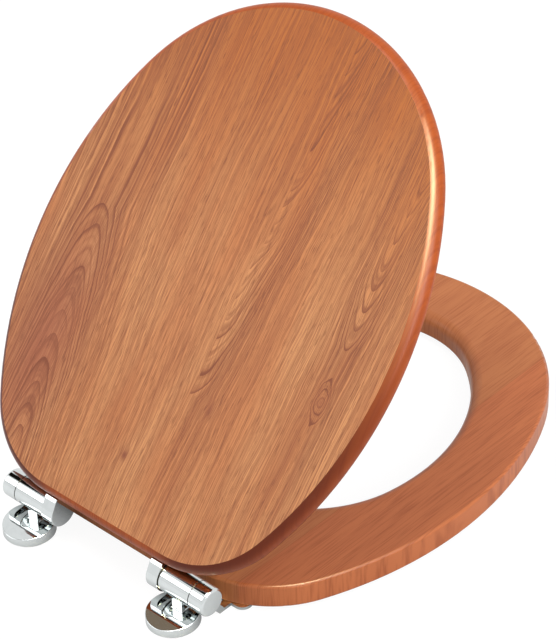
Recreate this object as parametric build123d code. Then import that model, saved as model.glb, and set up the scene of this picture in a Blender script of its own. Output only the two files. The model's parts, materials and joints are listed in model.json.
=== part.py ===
"""Toilet seat: a wood-effect lid and ring on two soft-closing barrel hinges.

Millimetres, +Z up, +X to the right of someone who faces the seat, +Y to the back.
The origin lies midway between the two pan fixings, on the face of the pan.
The lid is part-open at rest and the ring is down.
"""
import math
import os

from build123d import *

# Outline shared by the lid and the ring
SEAT_WIDTH = 355.2
REAR_TO_WIDEST = 192.9
WIDEST_TO_FRONT = 227.0
SIDE_RADIUS = 308.3
CORNER_RADIUS = 88.0

# Lid
LID_THICKNESS = 18.1
LID_EDGE_RADIUS = 9.3
LID_EDGE_INSET = 6.3
LID_UNDER_RADIUS = 9.0
LID_REAR_FROM_AXIS = 9.3
LID_GAP = 5.0
LID_OPEN = 48.6

# Ring
RING_THICKNESS = 20.8
RING_MARGIN = 1.0
RING_REAR_SETBACK = 10.5
RING_TOP_BELOW_AXIS = 0.5
RING_ABOVE_PAN = 4.2
RING_TOP_RADIUS = 2.5
RING_UNDER_RADIUS = 2.5
RING_BAND = 58.6
RING_REAR_BAND = 84.5
HOLE_WIDEST_AHEAD = 16.1
HOLE_SIDE_EXCESS = 17.8
HOLE_CORNER_RADIUS = 99.5
HOLE_TOP_RADIUS = 9.0
HOLE_UNDER_RADIUS = 3.0

# Hinge axis and barrel
FIXING_SPACING = 155.0
AXIS_IN_FRONT = 12.4
BARREL_RADIUS = 11.5
BARREL_LENGTH = 29.7
LID_KNUCKLE_LENGTH = 11.6
RING_KNUCKLE_LENGTH = 14.0
KNUCKLE_END_WALL = 2.5
KNUCKLE_EDGE_RADIUS = 0.8
CAP_EDGE_RADIUS = 2.2
KNUCKLE_STEP = 1.0
KNUCKLE_TOP = 14.0
KNUCKLE_TOP_REAR = 3.5
KNUCKLE_BOARD_GAP = 0.5
KNUCKLE_CORNER = 1.5
WASHER_THICKNESS = 0.6
WASHER_INSET = 0.5
FACE_GAP = 0.1
RUN_CLEARANCE = 0.05
FIT_CLEARANCE = 0.03

# Damper, its shaft and the pivot pin
DAMPER_RADIUS = 8.0
DAMPER_LENGTH = 19.5
DAMPER_KEY_WIDTH = 3.0
DAMPER_KEY_HEIGHT = 1.2
SHAFT_RADIUS = 4.0
SHAFT_IN_DAMPER = 13.0
SHAFT_FLAT = 2.6
PIN_RADIUS = 3.0
PIN_SEAT = 9.0
BORE_END_GAP = 0.3

# Base disc and gasket
DISC_RADIUS = 20.7
DISC_REAR_HEIGHT = 5.8
DISC_EDGE_RADIUS = 0.6
CROWN_HEIGHT = 7.4
CROWN_REAR = 10.5
CROWN_SLOPE = 5.0
POCKET_WIDTH = 31.0
POCKET_REAR = 5.3
POCKET_CORNER = 7.5
POCKET_FLOOR = 3.0
GASKET_THICKNESS = 1.2
GASKET_INSET = 1.2

# Foot, neck and pan thread of the hinge post
FOOT_THICKNESS = 3.0
FOOT_CLEARANCE = 0.2
NECK_WIDTH = 10.0
NECK_INSET = 3.3
NECK_DEPTH = 13.0
NECK_FILLET = 1.2
BOSS_RADIUS = 7.0
BOSS_RECESS = 0.2
THREAD_RADIUS = 3.4
THREAD_DEPTH = 6.0

# Wing plates, the strap to the ring's plate, and the screws
# Each screw: along the barrel from its middle, and inward from the board's rear edge
WING_THICKNESS = 2.5
WING_LOBE_RADIUS = 7.5
WING_MARGIN = 3.0
LID_WING_SCREWS = [(-21.0, 12.5), (-20.0, 29.0), (19.5, 12.5)]
RING_WING_SCREWS = [(9.0, 11.3), (27.5, 5.6), (19.5, 27.0)]
STRAP_WIDTH = 7.0
STRAP_FRONT_ANGLE = 48.0
STRAP_REAR_ANGLE = 20.0
STRAP_CLEARANCE = 1.2
SCREW_RADIUS = 1.9
SCREW_HEAD_RADIUS = 3.8
SCREW_LENGTH = 13.0
SCREW_TIP = 3.0
SCREW_SLOT_LENGTH = 4.0
SCREW_SLOT_WIDTH = 0.8
SCREW_SLOT_DEPTH = 1.0

# Bumpers
BUMPER_LENGTH = 34.0
BUMPER_WIDTH = 14.0
LID_BUMPER_RADIUS = 8.0
BUMPER_EDGE_RADIUS = 1.5
PEG_RADIUS = 2.4
PEG_LENGTH = 7.0
FRONT_BUMPER_ANGLE = 36.0
REAR_BUMPER_ANGLE = 62.0
LID_BUMPER_ANGLE = 50.0
CLOSED_CLEARANCE = 0.3

# Worked out from the sizes above
AXIS_HEIGHT = RING_ABOVE_PAN + RING_THICKNESS + RING_TOP_BELOW_AXIS
LID_UNDERSIDE = LID_GAP - RING_TOP_BELOW_AXIS
RING_UNDERSIDE = -RING_TOP_BELOW_AXIS - RING_THICKNESS
RING_REAR = LID_REAR_FROM_AXIS + RING_REAR_SETBACK
RING_WIDTH = SEAT_WIDTH + 2 * RING_MARGIN
RING_REAR_TO_WIDEST = REAR_TO_WIDEST - RING_REAR_SETBACK
RING_WIDEST_TO_FRONT = WIDEST_TO_FRONT + RING_MARGIN
HOLE_WIDTH = RING_WIDTH - 2 * RING_BAND
HOLE_REAR_TO_WIDEST = RING_REAR_TO_WIDEST + HOLE_WIDEST_AHEAD - RING_REAR_BAND
HOLE_WIDEST_TO_FRONT = RING_WIDEST_TO_FRONT - HOLE_WIDEST_AHEAD - RING_BAND
LID_BUMPER_HEIGHT = LID_GAP - CLOSED_CLEARANCE
JOINT_GAP = WASHER_THICKNESS + 2 * FACE_GAP
BARREL_END = BARREL_LENGTH / 2
KNUCKLE_START = BARREL_END + JOINT_GAP
LID_WING_TOP = LID_UNDERSIDE
RING_WING_TOP = RING_UNDERSIDE
TO_PART = Pos(0, -AXIS_IN_FRONT, AXIS_HEIGHT)
TO_LID = TO_PART * Rot(X=-LID_OPEN)


class Oval:
    """Seat outline of tangent arcs: straight rear edge, corners, sides and one front arc.

    The rear edge lies at y = -rear and the outline runs towards -Y.
    """

    def __init__(self, width, rear, to_widest, to_front, side_radius, corner_radius):
        self.sizes = (width, rear, to_widest, to_front, side_radius, corner_radius)
        self.rear = rear
        self.side_radius = side_radius
        self.corner_radius = corner_radius
        side_offset = side_radius - width / 2
        shortfall = side_radius - to_front
        front_shift = (side_offset**2 - shortfall**2) / (2 * shortfall)
        self.front_radius = to_front - front_shift
        reach = math.sqrt((side_radius - corner_radius)**2 - (to_widest - corner_radius)**2)
        self.corner_centre = (reach - side_offset, -rear - corner_radius)
        self.side_centre = (-side_offset, -rear - to_widest)
        self.front_centre = (0, -rear - to_widest - front_shift)
        self.corner_end = math.degrees(math.atan2(to_widest - corner_radius, reach))
        self.side_end = math.degrees(math.atan2(-front_shift, side_offset))

    def face(self):
        corner_x, corner_y = self.corner_centre
        side_x, side_y = self.side_centre
        corner_turn = 90 - self.corner_end
        side_turn = self.corner_end - self.side_end
        edges = [
            Line((-corner_x, -self.rear), (corner_x, -self.rear)),
            CenterArc((corner_x, corner_y), self.corner_radius, 90, -corner_turn),
            CenterArc((side_x, side_y), self.side_radius, self.corner_end, -side_turn),
            CenterArc(self.front_centre, self.front_radius, self.side_end, -180 - 2 * self.side_end),
            CenterArc((-side_x, side_y), self.side_radius, 180 - self.side_end, -side_turn),
            CenterArc((-corner_x, corner_y), self.corner_radius, 180 - self.corner_end, -corner_turn),
        ]
        return make_face(edges)

    def inset(self, depth):
        """Outline that runs the same distance inside this one everywhere."""
        width, rear, to_widest, to_front, side_radius, corner_radius = self.sizes
        return Oval(width - 2 * depth, rear + depth, to_widest - depth, to_front - depth,
                    side_radius - depth, corner_radius - depth)

    def rear_edge(self, x):
        """Where the rear edge lies at a place along it, round the corner too."""
        past_corner = max(x - self.corner_centre[0], 0)
        return self.corner_centre[1] + math.sqrt(self.corner_radius**2 - past_corner**2)

    def front_point(self, angle):
        turn = math.radians(angle)
        x = self.front_radius * math.sin(turn)
        return x, self.front_centre[1] - self.front_radius * math.cos(turn)

    def corner_point(self, angle):
        turn = math.radians(angle)
        x = self.corner_centre[0] + self.corner_radius * math.sin(turn)
        return x, self.corner_centre[1] + self.corner_radius * math.cos(turn)


LID_OVAL = Oval(SEAT_WIDTH, LID_REAR_FROM_AXIS, REAR_TO_WIDEST, WIDEST_TO_FRONT,
                SIDE_RADIUS, CORNER_RADIUS)
RING_OVAL = Oval(RING_WIDTH, RING_REAR, RING_REAR_TO_WIDEST, RING_WIDEST_TO_FRONT,
                 SIDE_RADIUS + RING_MARGIN, CORNER_RADIUS + RING_MARGIN)
HOLE_OVAL = Oval(HOLE_WIDTH, RING_REAR + RING_REAR_BAND, HOLE_REAR_TO_WIDEST, HOLE_WIDEST_TO_FRONT,
                 HOLE_WIDEST_TO_FRONT + HOLE_SIDE_EXCESS, HOLE_CORNER_RADIUS)
BUMPER_LINE = RING_OVAL.inset(RING_BAND / 2)
FRONT_BUMPER = BUMPER_LINE.front_point(FRONT_BUMPER_ANGLE)
REAR_BUMPER = BUMPER_LINE.corner_point(REAR_BUMPER_ANGLE)
LID_BUMPER = BUMPER_LINE.front_point(LID_BUMPER_ANGLE)


def wing_places(screws, board):
    """Screw places of one wing: along the barrel from its middle, and forward of the axis."""
    return [(along, inward - board.rear_edge(FIXING_SPACING / 2 + along)) for along, inward in screws]


LID_SCREWS = wing_places(LID_WING_SCREWS, LID_OVAL)
RING_SCREWS = wing_places(RING_WING_SCREWS, RING_OVAL)


def both_sides(point):
    return [point, (-point[0], point[1])]


def rod(radius, start, end):
    """Round bar on the hinge axis, between two places along it."""
    bar = Cylinder(radius, abs(end - start), rotation=(0, 90, 0))
    return Pos((start + end) / 2, 0, 0) * bar


def upright(radius, bottom, top):
    """Round bar along Z."""
    return Pos(0, 0, bottom) * Cylinder(radius, top - bottom, align=(Align.CENTER, Align.CENTER, Align.MIN))


def screw_places(places):
    """Screw places on both wings of a pair: along the barrel from its middle, and forward of the axis."""
    spots = []
    for along, forward in places:
        spots += both_sides((FIXING_SPACING / 2 + along, -forward))
    return spots


# Wooden boards

def lid():
    rise = math.sqrt(LID_EDGE_RADIUS**2 - (LID_EDGE_RADIUS - LID_EDGE_INSET)**2)
    board_height = LID_THICKNESS + LID_EDGE_RADIUS - rise
    board = extrude(LID_OVAL.face(), board_height)
    board = fillet(board.faces().sort_by(Axis.Z)[-1].edges(), LID_EDGE_RADIUS)
    under_radius = min(LID_UNDER_RADIUS, LID_THICKNESS - rise - CLOSED_CLEARANCE)
    board = fillet(board.faces().sort_by(Axis.Z)[0].edges(), under_radius)
    board = split(board, Plane.XY.offset(LID_THICKNESS), keep=Keep.BOTTOM)
    for x, y in screw_places(LID_SCREWS):
        board -= Pos(x, y) * upright(SCREW_RADIUS + RUN_CLEARANCE, 0, SCREW_LENGTH)
    for x, y in both_sides(LID_BUMPER):
        board -= Pos(x, y) * upright(PEG_RADIUS + RUN_CLEARANCE, 0, PEG_LENGTH + RUN_CLEARANCE)
    return Pos(0, 0, LID_UNDERSIDE) * board


def seat_ring():
    board = extrude(RING_OVAL.face(), RING_THICKNESS)
    board = fillet(board.faces().sort_by(Axis.Z)[-1].edges(), RING_TOP_RADIUS)
    board = fillet(board.faces().sort_by(Axis.Z)[0].edges(), RING_UNDER_RADIUS)
    board -= extrude(HOLE_OVAL.face(), RING_THICKNESS)
    board = fillet(board.faces().sort_by(Axis.Z)[-1].inner_wires()[0].edges(), HOLE_TOP_RADIUS)
    board = fillet(board.faces().sort_by(Axis.Z)[0].inner_wires()[0].edges(), HOLE_UNDER_RADIUS)
    for x, y in screw_places(RING_SCREWS):
        board -= Pos(x, y) * upright(SCREW_RADIUS + RUN_CLEARANCE, 0, SCREW_LENGTH)
    for x, y in both_sides(FRONT_BUMPER) + both_sides(REAR_BUMPER):
        board -= Pos(x, y) * upright(PEG_RADIUS + RUN_CLEARANCE, 0, PEG_LENGTH + RUN_CLEARANCE)
    return Pos(0, 0, RING_UNDERSIDE) * board


# Rubber bumpers, each with a peg pushed into the board above it

def ring_bumper(x, y):
    heading = math.degrees(math.atan2(y - HOLE_OVAL.side_centre[1], x)) + 90
    pad = extrude(SlotOverall(BUMPER_LENGTH, BUMPER_WIDTH), -RING_ABOVE_PAN)
    pad = fillet(pad.faces().sort_by(Axis.Z)[0].edges(), BUMPER_EDGE_RADIUS)
    return Pos(x, y, RING_UNDERSIDE) * Rot(Z=heading) * (pad + upright(PEG_RADIUS, 0, PEG_LENGTH))


def lid_bumper(x, y):
    pad = upright(LID_BUMPER_RADIUS, -LID_BUMPER_HEIGHT, 0)
    pad = fillet(pad.faces().sort_by(Axis.Z)[0].edges(), BUMPER_EDGE_RADIUS)
    return Pos(x, y, LID_UNDERSIDE) * (pad + upright(PEG_RADIUS, 0, PEG_LENGTH))


# Countersunk wood screws, heads down

def wood_screw():
    cone = SCREW_HEAD_RADIUS - SCREW_RADIUS
    profile = Polyline(
        (0, 0), (SCREW_HEAD_RADIUS, 0), (SCREW_RADIUS, cone), (SCREW_RADIUS, SCREW_LENGTH - SCREW_TIP),
        (0, SCREW_LENGTH), close=True)
    screw = revolve(Plane.XZ * make_face(profile), Axis.Z)
    slot = Box(SCREW_SLOT_LENGTH, SCREW_SLOT_WIDTH, 2 * SCREW_SLOT_DEPTH)
    return screw - slot - Rot(Z=90) * slot


def wing_screws(places, wing_top):
    spots = [(FIXING_SPACING / 2 + along, -forward) for along, forward in places]
    return [Pos(x, y, wing_top - WING_THICKNESS) * wood_screw() for x, y in spots]


def countersinks(places, wing_top):
    """Clearance for the screws of one wing, taken along the barrel from its middle."""
    cone = SCREW_HEAD_RADIUS - SCREW_RADIUS
    hole = Cone(SCREW_HEAD_RADIUS + RUN_CLEARANCE, SCREW_RADIUS + RUN_CLEARANCE, cone,
                align=(Align.CENTER, Align.CENTER, Align.MIN))
    hole += upright(SCREW_RADIUS + RUN_CLEARANCE, 0, WING_THICKNESS)
    return [Pos(along, -forward, wing_top - WING_THICKNESS) * hole for along, forward in places]


def wing(outline, places, wing_top):
    plate = Pos(0, 0, wing_top - WING_THICKNESS) * extrude(outline, WING_THICKNESS)
    for hole in countersinks(places, wing_top):
        plate -= hole
    return plate


def lobes(places):
    return [Pos(along, -forward) * Circle(WING_LOBE_RADIUS) for along, forward in places]


# Hinge pieces, drawn with x counted outward from the middle of the barrel

def shaft_section(clearance):
    """Round shaft with one flat, in the plane across the hinge axis."""
    flat_cut = Rectangle(4 * SHAFT_RADIUS, 2 * SHAFT_RADIUS, align=(Align.CENTER, Align.MIN))
    return Circle(SHAFT_RADIUS + clearance) - Pos(0, SHAFT_FLAT + clearance) * flat_cut


def along_axis(section, start, end):
    """Extrude a section drawn as (y, z) along the hinge axis."""
    return Pos(start, 0, 0) * extrude(Plane.YZ * section, end - start)


def knuckle_bore(start, outward, length, damped):
    """Socket in a knuckle: D-shaped on the damped side, round on the pivot pin."""
    depth = length - KNUCKLE_END_WALL
    low, high = sorted((start, start + outward * depth))
    if damped:
        return along_axis(shaft_section(FIT_CLEARANCE), low, high)
    return rod(PIN_RADIUS + RUN_CLEARANCE, low, high)


def hinge_post(damped_end):
    floor = GASKET_THICKNESS + POCKET_FLOOR - AXIS_HEIGHT
    foot_top = floor + FOOT_THICKNESS
    plan = pocket_plan(FOOT_CLEARANCE) & Circle(DISC_RADIUS - FOOT_CLEARANCE)
    post = Pos(0, AXIS_IN_FRONT, floor) * extrude(plan, FOOT_THICKNESS)
    neck_middle = AXIS_IN_FRONT - DISC_RADIUS + NECK_INSET + NECK_DEPTH / 2
    post = post + Pos(0, neck_middle, foot_top) * Box(
        NECK_WIDTH, NECK_DEPTH, -foot_top, align=(Align.CENTER, Align.CENTER, Align.MIN))
    post = fillet(post.edges().filter_by(GeomType.LINE).filter_by(
        lambda edge: abs(edge.center().Z - foot_top) < FACE_GAP and abs(edge.center().X) <= NECK_WIDTH / 2
        and abs(edge.center().Y - neck_middle) <= NECK_DEPTH / 2), NECK_FILLET)
    post = post + rod(BARREL_RADIUS, -BARREL_END, BARREL_END)
    pan = -AXIS_HEIGHT
    post = post + Pos(0, AXIS_IN_FRONT, 0) * upright(BOSS_RADIUS, pan + BOSS_RECESS, floor)
    post = post - Pos(0, AXIS_IN_FRONT, 0) * upright(THREAD_RADIUS, pan + BOSS_RECESS, pan + BOSS_RECESS + THREAD_DEPTH)
    bottom = damped_end * (BARREL_END - DAMPER_LENGTH)
    post = post - rod(DAMPER_RADIUS + FIT_CLEARANCE, bottom, damped_end * BARREL_END)
    post = post - damper_key(damped_end, FIT_CLEARANCE)
    return post - rod(PIN_RADIUS + FIT_CLEARANCE, -damped_end * BARREL_END, bottom)


def damper_key(damped_end, clearance):
    """Rib on top of the damper that stops it turning in the barrel."""
    height = DAMPER_RADIUS + DAMPER_KEY_HEIGHT
    rib = Box(DAMPER_LENGTH, DAMPER_KEY_WIDTH + 2 * clearance, height + clearance,
              align=(Align.CENTER, Align.CENTER, Align.MIN))
    return Pos(damped_end * (BARREL_END - DAMPER_LENGTH / 2), 0, 0) * rib


def damper(damped_end):
    bottom = damped_end * (BARREL_END - DAMPER_LENGTH)
    body = rod(DAMPER_RADIUS, bottom, damped_end * BARREL_END) + damper_key(damped_end, 0)
    shaft_end = damped_end * (BARREL_END - SHAFT_IN_DAMPER - BORE_END_GAP)
    return body - rod(SHAFT_RADIUS + RUN_CLEARANCE, shaft_end, damped_end * BARREL_END)


def damper_shaft(damped_end, knuckle_length):
    root = damped_end * (BARREL_END - SHAFT_IN_DAMPER)
    mouth = damped_end * KNUCKLE_START
    tip = damped_end * (KNUCKLE_START + knuckle_length - KNUCKLE_END_WALL - BORE_END_GAP)
    low, high = sorted((mouth, tip))
    return rod(SHAFT_RADIUS, root, mouth) + along_axis(shaft_section(0), low, high)


def pivot_pin(free_end, knuckle_length):
    root = free_end * (BARREL_END - PIN_SEAT)
    tip = free_end * (KNUCKLE_START + knuckle_length - KNUCKLE_END_WALL - BORE_END_GAP)
    return rod(PIN_RADIUS, root, tip)


def thrust_washer(end):
    start = end * (BARREL_END + FACE_GAP)
    stop = end * (BARREL_END + FACE_GAP + WASHER_THICKNESS)
    washer = rod(BARREL_RADIUS - WASHER_INSET, start, stop)
    return washer - rod(SHAFT_RADIUS + 2 * RUN_CLEARANCE, start, stop)


def lid_bracket(damped):
    end = -KNUCKLE_START
    start = end - LID_KNUCKLE_LENGTH
    flat_front = KNUCKLE_CORNER + KNUCKLE_BOARD_GAP - LID_REAR_FROM_AXIS
    flat_rear = -KNUCKLE_TOP_REAR - KNUCKLE_CORNER
    section = Circle(BARREL_RADIUS + KNUCKLE_STEP).edges()
    for y in (flat_front, flat_rear):
        section += (Pos(y, KNUCKLE_TOP - KNUCKLE_CORNER) * Circle(KNUCKLE_CORNER)).edges()
    knuckle = along_axis(make_hull(section), start, end)
    knuckle = fillet(knuckle.faces().sort_by(Axis.X)[0].edges(), KNUCKLE_EDGE_RADIUS)
    rear = -LID_REAR_FROM_AXIS - WING_MARGIN
    rear_line = Line((start, rear), (LID_SCREWS[2][0] + WING_LOBE_RADIUS, rear))
    outline = make_hull([edge for lobe in lobes(LID_SCREWS) for edge in lobe.edges()] + rear_line.edges())
    outline &= Pos(-FIXING_SPACING / 2, 0) * LID_OVAL.inset(WING_MARGIN).face()
    root = Rectangle(LID_KNUCKLE_LENGTH, LID_SCREWS[1][1], align=(Align.MIN, Align.MAX))
    bracket = knuckle + wing(outline + Pos(start, 0) * root, LID_SCREWS, LID_WING_TOP)
    return bracket - knuckle_bore(end, -1, LID_KNUCKLE_LENGTH, damped)


def on_barrel(angle):
    """Point (y, z) on the barrel's lower front, counted in degrees from straight down."""
    turn = math.radians(angle)
    return -BARREL_RADIUS * math.sin(turn), -BARREL_RADIUS * math.cos(turn)


def ring_bracket(damped):
    start = KNUCKLE_START
    end = start + RING_KNUCKLE_LENGTH
    knuckle = fillet(rod(BARREL_RADIUS, start, end).faces().sort_by(Axis.X)[-1].edges(), CAP_EDGE_RADIUS)
    front, rear = on_barrel(STRAP_FRONT_ANGLE), on_barrel(STRAP_REAR_ANGLE)
    foot = RING_WING_TOP - WING_THICKNESS
    wall = STRAP_CLEARANCE - RING_REAR
    heel = rear[0] + (wall - front[0]) * (foot - rear[1]) / (RING_WING_TOP - front[1])
    strap = Polyline((0, 0), front, (wall, RING_WING_TOP), (wall, foot), (heel, foot), rear, close=True)
    outline = make_hull([edge for lobe in lobes(RING_SCREWS) for edge in lobe.edges()])
    tongue = Rectangle(STRAP_WIDTH, RING_SCREWS[2][1] + heel, align=(Align.MIN, Align.MAX))
    bracket = knuckle + along_axis(make_face(strap), start, start + STRAP_WIDTH)
    bracket += wing(outline + Pos(start, heel) * tongue, RING_SCREWS, RING_WING_TOP)
    return bracket - knuckle_bore(start, 1, RING_KNUCKLE_LENGTH, damped)


# Base disc and gasket, drawn about the pan fixing with z counted from the pan

def pocket_plan(clearance):
    """Pocket in the base disc: open to the front, rounded at the back."""
    reach = 2 * DISC_RADIUS
    plan = Pos(0, POCKET_REAR - clearance) * Rectangle(
        POCKET_WIDTH - 2 * clearance, reach, align=(Align.CENTER, Align.MAX))
    return fillet(plan.vertices().group_by(Axis.Y)[-1], POCKET_CORNER)


def base_disc():
    rise = math.tan(math.radians(CROWN_SLOPE))
    crown = GASKET_THICKNESS + CROWN_HEIGHT
    side = Polyline(
        (-DISC_RADIUS, GASKET_THICKNESS), (DISC_RADIUS, GASKET_THICKNESS),
        (DISC_RADIUS, GASKET_THICKNESS + DISC_REAR_HEIGHT), (CROWN_REAR, crown),
        (-DISC_RADIUS, crown + rise * (CROWN_REAR + DISC_RADIUS)), close=True)
    wedge = extrude(Plane.YZ * make_face(side), DISC_RADIUS, both=True)
    disc = wedge & upright(DISC_RADIUS, 0, AXIS_HEIGHT)
    rims = disc.edges().filter_by(GeomType.LINE, reverse=True).filter_by(
        lambda edge: edge.center().Z > GASKET_THICKNESS + DISC_EDGE_RADIUS)
    disc = fillet(rims, DISC_EDGE_RADIUS)
    pocket = Pos(0, 0, GASKET_THICKNESS + POCKET_FLOOR) * extrude(pocket_plan(0), AXIS_HEIGHT)
    disc = disc - pocket
    return disc - upright(BOSS_RADIUS + FIT_CLEARANCE, 0, AXIS_HEIGHT)


def base_gasket():
    ring = upright(DISC_RADIUS - GASKET_INSET, 0, GASKET_THICKNESS)
    return ring - upright(BOSS_RADIUS + FIT_CLEARANCE, 0, GASKET_THICKNESS)


# Assembly

def on_side(side, piece):
    """Put a hinge piece on the right (+X) or mirror it to the left."""
    placed = Pos(FIXING_SPACING / 2, 0, 0) * piece
    return placed if side == "right" else mirror(placed, about=Plane.YZ)


def hinge_nodes(side, lid_damped):
    damped_end = -1 if lid_damped else 1
    damped_length = LID_KNUCKLE_LENGTH if lid_damped else RING_KNUCKLE_LENGTH
    free_length = RING_KNUCKLE_LENGTH if lid_damped else LID_KNUCKLE_LENGTH
    shaft_place = TO_LID if lid_damped else TO_PART
    washers = [thrust_washer(-1), thrust_washer(1)]
    lid_screws = wing_screws(LID_SCREWS, LID_WING_TOP)
    ring_screws = wing_screws(RING_SCREWS, RING_WING_TOP)
    to_centre = Pos(-FIXING_SPACING / 2, 0, 0)
    return {
        f"base_disc_{side}": on_side(side, base_disc()),
        f"base_gasket_{side}": on_side(side, base_gasket()),
        f"hinge_post_{side}": TO_PART * on_side(side, hinge_post(damped_end)),
        f"damper_{side}": TO_PART * on_side(side, damper(damped_end)),
        f"damper_shaft_{side}": shaft_place * on_side(side, damper_shaft(damped_end, damped_length)),
        f"pivot_pin_{side}": TO_PART * on_side(side, pivot_pin(-damped_end, free_length)),
        f"thrust_washers_{side}": [TO_PART * on_side(side, washer) for washer in washers],
        f"lid_bracket_{side}": TO_LID * on_side(side, lid_bracket(lid_damped)),
        f"ring_bracket_{side}": TO_PART * on_side(side, ring_bracket(not lid_damped)),
        f"lid_screws_{side}": [TO_LID * on_side(side, to_centre * screw) for screw in lid_screws],
        f"ring_screws_{side}": [TO_PART * on_side(side, to_centre * screw) for screw in ring_screws],
    }


def seat_nodes():
    nodes = {
        "lid": TO_LID * lid(),
        "seat_ring": TO_PART * seat_ring(),
        "lid_bumpers": [TO_LID * lid_bumper(x, y) for x, y in both_sides(LID_BUMPER)],
        "ring_bumpers": [
            TO_PART * ring_bumper(x, y) for x, y in both_sides(FRONT_BUMPER) + both_sides(REAR_BUMPER)],
    }
    nodes.update(hinge_nodes("right", lid_damped=True))
    nodes.update(hinge_nodes("left", lid_damped=False))
    return nodes


def main():
    os.makedirs("parts", exist_ok=True)
    for name, piece in seat_nodes().items():
        pieces = piece if isinstance(piece, list) else [piece]
        node = Compound([solid for each in pieces for solid in each.solids()], label=name)
        export_step(node, os.path.join("parts", f"{name}.step"))
        print(name, len(node.solids()), round(node.volume / 1000, 2), "cm3")


main()
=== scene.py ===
# %% [markdown]
# # A wood-effect toilet seat in Blender
#
# The seat comes from CAD as a set of rigid nodes: two wooden boards, two hinges and their small parts. The
# shapes and joints are settled there. This lesson gives every piece the finish of the real thing, makes the
# wood screws with Geometry Nodes, then lights the seat and sets a camera where the photographer stood.
# Lengths are in metres, as Blender takes them, and MM is one millimetre.

# %% Load the CAD frame
import json
import math

import bpy
from mathutils import Matrix, Quaternion, Vector


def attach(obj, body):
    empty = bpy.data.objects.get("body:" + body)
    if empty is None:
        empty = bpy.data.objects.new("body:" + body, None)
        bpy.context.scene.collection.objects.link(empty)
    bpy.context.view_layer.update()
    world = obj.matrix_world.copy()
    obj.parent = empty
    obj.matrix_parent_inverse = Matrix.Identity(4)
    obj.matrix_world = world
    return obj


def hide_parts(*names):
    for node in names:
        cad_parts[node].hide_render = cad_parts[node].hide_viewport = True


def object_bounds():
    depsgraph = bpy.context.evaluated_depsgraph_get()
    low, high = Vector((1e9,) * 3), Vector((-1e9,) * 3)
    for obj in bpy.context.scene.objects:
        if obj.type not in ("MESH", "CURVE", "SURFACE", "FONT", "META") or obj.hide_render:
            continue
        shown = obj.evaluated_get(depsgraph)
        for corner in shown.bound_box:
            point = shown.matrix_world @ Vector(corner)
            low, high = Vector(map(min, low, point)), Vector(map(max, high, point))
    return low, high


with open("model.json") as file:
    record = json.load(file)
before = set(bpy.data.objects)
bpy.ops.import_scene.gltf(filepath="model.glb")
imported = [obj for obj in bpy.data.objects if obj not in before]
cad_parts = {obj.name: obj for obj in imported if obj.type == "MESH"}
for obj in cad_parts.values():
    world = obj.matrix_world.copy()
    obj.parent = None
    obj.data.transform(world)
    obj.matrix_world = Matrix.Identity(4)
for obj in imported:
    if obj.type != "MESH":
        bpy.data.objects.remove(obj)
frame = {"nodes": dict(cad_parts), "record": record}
cad_low, cad_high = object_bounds()
MM = 0.001
print("CAD box, mm:", [round(side / MM, 1) for side in cad_high - cad_low])

# %% [markdown]
# The lid stands part-open in the frame. Patterns on the lid are easier to draw as if it lay flat, so the
# hinge axis and the lid's angle are read from the lid's joint. At the joint's lower limit the lid is shut,
# so that limit is the angle at which it stands open now.

# %% Read the hinge axis and the lid's angle
lid_joint = next(joint for joint in frame["record"]["behaviour"]["joints"] if joint["name"] == "lid_hinge")
hinge_axis = Vector(lid_joint["pos_m"])
lid_open = math.radians(-lid_joint["range_deg"][0])
shut_lid = Matrix.Rotation(lid_open, 4, "X") @ Matrix.Translation(-hinge_axis)
lid_heights = [(shut_lid @ corner.co).z / MM for corner in frame["nodes"]["lid"].data.vertices]
lid_top = max(lid_heights)
lid_bottom = min(lid_heights)
print("lid open, degrees:", round(math.degrees(lid_open), 1))
print("lid above the axis when shut, mm:", round(lid_bottom, 2), "to", round(lid_top, 2))

# %% [markdown]
# Colours are picked as sRGB hex codes, the way a paint chart gives them. Shaders work with linear light,
# so one function converts them. A second function adds a node, sets its options and joins its inputs.
# A third one starts a material from nothing.
#
# Inputs go by name, or by number where several share a name or that is shorter. On a Mix node 0 is the
# share, 2 and 3 are two numbers, 6 and 7 two colours, and output 2 is the mixed colour.

# %% Colour and node helpers


def paint(code):
    """Linear RGBA of an sRGB hex colour."""
    channels = [int(code[i:i + 2], 16) / 255 for i in (1, 3, 5)]
    linear = [c / 12.92 if c <= 0.04045 else ((c + 0.055) / 1.055) ** 2.4 for c in channels]
    return (*linear, 1.0)


def add_node(tree, kind, inputs=None, **settings):
    """Add one node; an input is a value, or a socket to link from."""
    node = tree.nodes.new(kind)
    for key, value in settings.items():
        setattr(node, key, value)
    for socket, value in (inputs or {}).items():
        if isinstance(value, bpy.types.NodeSocket):
            tree.links.new(value, node.inputs[socket])
        else:
            node.inputs[socket].default_value = value
    return node


def new_material(name):
    """An empty material and its node tree."""
    material = bpy.data.materials.new(name)
    material.use_nodes = True
    material.node_tree.nodes.clear()
    return material, material.node_tree


print("helpers ready")

# %% [markdown]
# ## Printed wood film
#
# The lid's face is board covered with a printed film of flat-sawn timber under a satin coat. The film could
# be an image, but then it would have one fixed resolution. Here it is worked out from what a saw does to a
# trunk.
#
# Everything is in millimetres on the shut lid. For someone who stands behind the hinges, as the camera
# will, u runs to the right and v runs forward from the hinge axis. A Mapping node of the Texture kind turns
# Object coordinates into that flat frame.

# %% The lid laid flat


def lid_plane(tree):
    """Object coordinates as (u, v, height above the axis) on the shut lid, in millimetres."""
    place = add_node(tree, "ShaderNodeTexCoord").outputs["Object"]
    return add_node(tree, "ShaderNodeMapping", {
        "Vector": place, "Location": hinge_axis, "Rotation": (-lid_open, 0, 0), "Scale": (-MM, -MM, MM),
    }, vector_type="TEXTURE").outputs["Vector"]


print("film measured from the hinge axis, mm:", [round(part / MM, 1) for part in hinge_axis])

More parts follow.
